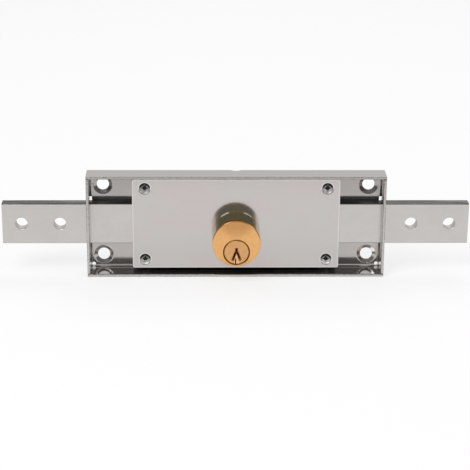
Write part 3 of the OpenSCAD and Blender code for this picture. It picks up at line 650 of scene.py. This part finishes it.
def spring_tree(finish):
    """A coil spring with closed ends, standing on Z."""
    sizes = dict.fromkeys(["Coil radius", "Wire radius", "Height", "Foot", "Depth"], 0.0) | {"Turns": 6}
    tree, graph, size = shape_tree("pin_spring", sizes)
    line = graph.node("GeometryNodeCurvePrimitiveLine", None, {"End": (0.0, 0.0, 1.0)})
    line = graph.node("GeometryNodeResampleCurve", {"mode": "COUNT"}, {"Curve": line, "Count": size["Turns"] * 24 + 1})
    along = graph.node("GeometryNodeSplineParameter", outlet="Factor")
    turn = along * size["Turns"] * (2 * pi)
    climb = along - (along * (2 * pi)).sine() * (0.7 / (2 * pi))
    path = graph.vector(
        turn.cosine() * size["Coil radius"],
        turn.sine() * size["Coil radius"] + size["Depth"],
        climb * (size["Height"] - size["Wire radius"] * 2) + size["Wire radius"] + size["Foot"],
    )
    wound = graph.node("GeometryNodeSetPosition", None, {"Geometry": line, "Position": path})
    wire = graph.node("GeometryNodeCurvePrimitiveCircle", None, {"Resolution": 10, "Radius": size["Wire radius"]})
    coil = graph.node("GeometryNodeCurveToMesh", None, {"Curve": wound, "Profile Curve": wire, "Fill Caps": True})
    close_shape(graph, coil, finish)
    return tree


def screw_set(name, tree, sizes, facing, sunk=0.0):
    """One set of screws in place of its solids, with heads that face the front (1) or the back (-1)."""
    low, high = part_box(name)
    size = high - low
    head = sizes["Head width"]
    middle = (low + high) / 2
    placed = {label: value * MM if isinstance(value, float) else value for label, value in sizes.items()}
    placed["Spacing X"] = size.x - head * MM
    placed["Spacing Y"] = size.z - head * MM
    placed["Rise"] = facing * middle.z
    placed["Front"] = (-low.y if facing > 0 else high.y) - sunk * MM
    placed["Shank length"] = size.y - (sizes["Head height"] + sunk) * MM
    placed["Tilt"] = facing * pi / 2
    return new_piece(name + "_threaded", shaped(name, tree, placed), name)


def pin_spring(number, tree):
    """One spring in its chamber, wound to the height of its solid."""
    node = f"pin_spring_{number}"
    low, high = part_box(node)
    wire = 0.15 * MM
    height = high.z - low.z
    sizes = {
        "Coil radius": (high.x - low.x) / 2 - wire,
        "Wire radius": wire,
        "Height": height,
        "Foot": low.z,
        "Depth": (low.y + high.y) / 2,
        "Turns": 6,
    }
    piece = new_piece(node + "_wound", shaped(node, tree, sizes), node)
    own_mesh(piece)
    return piece


def seen_ray(graph):
    """1 for the camera's rays, and for those that metal and glass reflect or let through."""
    rays = [graph.node("ShaderNodeLightPath", outlet=f"Is {kind} Ray") for kind in ("Camera", "Glossy")]
    through = graph.node("ShaderNodeLightPath", outlet="Is Transmission Ray")
    return rays[0].math("MAXIMUM", rays[0].math("MAXIMUM", *rays), through)


def studio():
    """Pale floor and surroundings, with a dark flag behind the camera that only reflections see."""
    world = bpy.data.worlds.new("surroundings")
    bpy.context.scene.world = world
    world.use_nodes = True
    world.node_tree.nodes.clear()
    graph = Graph(world.node_tree)
    strength = 0.5 + 0.5 * seen_ray(graph)
    light = graph.node("ShaderNodeBackground", None, {"Color": (1.0, 1.0, 1.0, 1.0), "Strength": strength})
    graph.node("ShaderNodeOutputWorld", None, {"Surface": light})

    pale = bpy.data.materials.new("pale_floor")
    pale.use_nodes = True
    pale.node_tree.nodes.clear()
    graph = Graph(pale.node_tree)
    white = (1.0, 1.0, 1.0, 1.0)
    glow = graph.node("ShaderNodeEmission", None, {"Color": white, "Strength": 0.66 * seen_ray(graph)})
    matt = graph.node("ShaderNodeBsdfDiffuse", None, {"Color": (0.36, 0.36, 0.36, 1.0)})
    both = graph.node("ShaderNodeAddShader", None, {0: glow, 1: matt})
    graph.node("ShaderNodeOutputMaterial", None, {"Surface": both})
    stage_sheet("floor", [(-6, -6), (6, -6), (6, 6), (-6, 6)], CASE_LOW.z, pale)

    dark = bpy.data.materials.new("dark_flag")
    dark.use_nodes = True
    dark.node_tree.nodes.clear()
    graph = Graph(dark.node_tree)
    felt = graph.node("ShaderNodeBsdfDiffuse", None, {"Color": (0.33, 0.33, 0.33, 1.0)})
    graph.node("ShaderNodeOutputMaterial", None, {"Surface": felt})
    apron = stage_sheet("apron", [(-0.9, -1.1), (0.9, -1.1), (0.9, -0.2), (-0.9, -0.2)], CASE_LOW.z + MM, dark)
    for flag in (stage_arc("flag", 1.25, radians(55), CASE_LOW.z, 0.85, dark), apron):
        flag.visible_camera = False
        flag.visible_diffuse = False
        flag.visible_shadow = False

    softbox("key", (-0.6, -0.75, 1.0), 0.7, 0.34)
    softbox("fill", (0.95, -0.45, 0.7), 0.6, 0.14)
    softbox("back", (0.1, 0.7, 0.95), 0.6, 0.16)


def stage_sheet(name, corners, height, material):
    mesh = bpy.data.meshes.new(name)
    mesh.from_pydata([(x, y, height) for x, y in corners], [], [tuple(range(len(corners)))])
    return stage_piece(name, mesh, material)


def stage_arc(name, radius, half_angle, low, high, material):
    """An upright sheet bent round the lock, in front of it."""
    steps = 24
    turns = [half_angle * (2 * i / steps - 1) for i in range(steps + 1)]
    around = [Vector((0, -radius, 0)) @ Euler((0, 0, -turn)).to_matrix() for turn in turns]
    points = [(p.x, p.y, z) for p in around for z in (low, high)]
    faces = [(2 * i, 2 * i + 2, 2 * i + 3, 2 * i + 1) for i in range(steps)]
    mesh = bpy.data.meshes.new(name)
    mesh.from_pydata(points, [], faces)
    return stage_piece(name, mesh, material)


def stage_piece(name, mesh, material):
    mesh.materials.append(material)
    piece = bpy.data.objects.new(name, mesh)
    bpy.context.scene.collection.objects.link(piece)
    return piece


def softbox(name, place, width, level):
    """A square lamp that faces the lock and lights it to this share of a plain level."""
    lamp = bpy.data.lights.new(name, "AREA")
    lamp.size = width
    lamp.energy = level * pi**2 * Vector(place).length_squared
    piece = bpy.data.objects.new(name, lamp)
    piece.location = place
    piece.rotation_euler = Vector(place).to_track_quat("Z", "Y").to_euler()
    bpy.context.scene.collection.objects.link(piece)
    return piece


def photo_camera():
    """The camera of the photograph: above the lock, looking down at it by about 19 degrees."""
    lens = bpy.data.cameras.new("camera")
    lens.sensor_width = 36.0
    lens.lens = 127.52
    lens.shift_x = -0.00116
    lens.shift_y = -0.03526
    camera = bpy.data.objects.new("camera", lens)
    camera.location = (-0.02119, -0.82658, 0.29165)
    camera.rotation_euler = Euler([radians(angle) for angle in (70.5702, -0.4393, -1.3134)])
    bpy.context.scene.collection.objects.link(camera)
    bpy.context.scene.camera = camera


photo_camera()
studio()
bpy.context.scene.view_settings.view_transform = "Standard"

makers = [plated_sheet, satin_plate, bolt_steel, turned_steel, gear_steel]
makers += [screw_steel, cylinder_brass, plug_brass, pin_brass, spring_wire]
finishes = {maker.__name__: maker() for maker in makers}
for node, name in SLOT_OF.items():
    for slot in frame["nodes"][node].material_slots:
        slot.material = finishes[name]

# Sharp edges are broken by these widths, in millimetres
eased = {"case": 0.12, "cover_plate": 0.22, "left_bolt": 0.1, "right_bolt": 0.1}
eased |= {"cylinder_body": 0.06, "plug": 0.05, "cover_posts": 0.08, "guide_studs": 0.08}
for node, width in eased.items():
    eased_piece(node, finishes[SLOT_OF[node]], width, 3.6 if node == "case" else 1.0)

screws = screw_tree(finishes["screw_steel"])
cover_sizes = {"Head width": HEAD_WIDTH, "Foot width": 2.86, "Head height": 1.0, "Shank width": 2.5}
cover_sizes |= {"Thread pitch": 0.45, "Recess width": 3.5, "Columns": 2, "Rows": 2}
screw_set("cover_screws", screws, cover_sizes, 1, sunk=0.3)
cylinder_sizes = {"Head width": 5.6, "Foot width": 3.0, "Head height": 1.3, "Shank width": 3.0}
cylinder_sizes |= {"Thread pitch": 0.5, "Recess width": 3.4, "Columns": 2, "Rows": 1}
screw_set("cylinder_screws", screws, cylinder_sizes, -1)
tail_sizes = {"Head width": 3.8, "Foot width": 2.0, "Head height": 1.2, "Shank width": 2.0}
tail_sizes |= {"Thread pitch": 0.4, "Recess width": 2.3, "Columns": 1, "Rows": 1}
screw_set("tail_screw", screws, tail_sizes, -1)

coils = spring_tree(finishes["spring_wire"])
for number in range(1, 6):
    pin_spring(number, coils)
